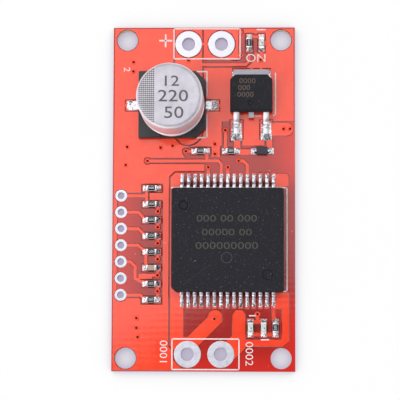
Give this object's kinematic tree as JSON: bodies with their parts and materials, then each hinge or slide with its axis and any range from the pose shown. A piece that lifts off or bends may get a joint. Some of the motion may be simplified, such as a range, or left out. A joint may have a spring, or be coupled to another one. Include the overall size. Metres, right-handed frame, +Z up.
{
  "type": "motor driver module",
  "caption": "Red circuit board with a leaded power driver package, a can capacitor, a tabbed transistor, chip parts, a row of signal holes and ringed wire holes at each end.",
  "frame": {"origin": "centre of the board's outline, at the level of the tinned rings on its underside", "axes": "+X to the right across the board, away from the signal holes; +Y along the board, towards the supply end with the capacitor; +Z up out of the component side"},
  "size_m": [0.028, 0.053, 0.0118],
  "materials": {
    "laminate": "glass-epoxy laminate under glossy red solder mask",
    "copper": "etched copper foil under glossy red solder mask",
    "tin_plating": "bright tin, satin",
    "tinned_leads": "tin-plated copper alloy, satin",
    "solder": "reflowed solder, mottled bright",
    "moulding_compound": "filled epoxy, fine matte grain",
    "silicon": "bare silicon, hidden inside the package",
    "moulded_base": "black heat-resistant nylon",
    "can_aluminium": "coated aluminium, satin",
    "seal_rubber": "black butyl rubber",
    "winding_foil": "wound foil and paper, hidden in the can",
    "resistor_alumina": "white alumina",
    "resistor_overcoat": "black glass overcoat",
    "capacitor_ceramic": "tan barium titanate ceramic",
    "led_base": "white glass-epoxy",
    "led_lens": "milky clear epoxy"
  },
  "bodies": {
    "root": {"board_laminate": "laminate", "bottom_copper": "copper", "capacitor_base": "moulded_base", "capacitor_can": "can_aluminium", "capacitor_seal": "seal_rubber", "capacitor_solder": "solder", "capacitor_terminal_negative": "tinned_leads", "capacitor_terminal_positive": "tinned_leads", "capacitor_winding": "winding_foil", "ceramic_capacitor": "capacitor_ceramic", "ceramic_capacitor_terminals": "tin_plating", "chip_solder": "solder", "diode_body": "moulding_compound", "diode_leads": "tinned_leads", "driver_body": "moulding_compound", "driver_dies": "silicon", "driver_leads_north": "tinned_leads", "driver_leads_south": "tinned_leads", "driver_slug_centre": "tinned_leads", "driver_slug_left": "tinned_leads", "driver_slug_right": "tinned_leads", "driver_solder": "solder", "led_forward_base": "led_base", "led_forward_lens": "led_lens", "led_power_base": "led_base", "led_power_lens": "led_lens", "led_reverse_base": "led_base", "led_reverse_lens": "led_lens", "led_terminals": "tin_plating", "output_eyelet_one": "tin_plating", "output_eyelet_two": "tin_plating", "resistor_1": "resistor_alumina", "resistor_10": "resistor_alumina", "resistor_11": "resistor_alumina", "resistor_2": "resistor_alumina", "resistor_3": "resistor_alumina", "resistor_4": "resistor_alumina", "resistor_5": "resistor_alumina", "resistor_6": "resistor_alumina", "resistor_7": "resistor_alumina", "resistor_8": "resistor_alumina", "resistor_9": "resistor_alumina", "resistor_overcoats": "resistor_overcoat", "resistor_terminals": "tin_plating", "signal_eyelets": "tin_plating", "supply_eyelet_negative": "tin_plating", "supply_eyelet_positive": "tin_plating", "top_copper": "copper", "transistor_body": "moulding_compound", "transistor_die": "silicon", "transistor_lead_gate": "tinned_leads", "transistor_lead_source": "tinned_leads", "transistor_solder": "solder", "transistor_tab": "tinned_leads"}
  },
  "joints": []
}
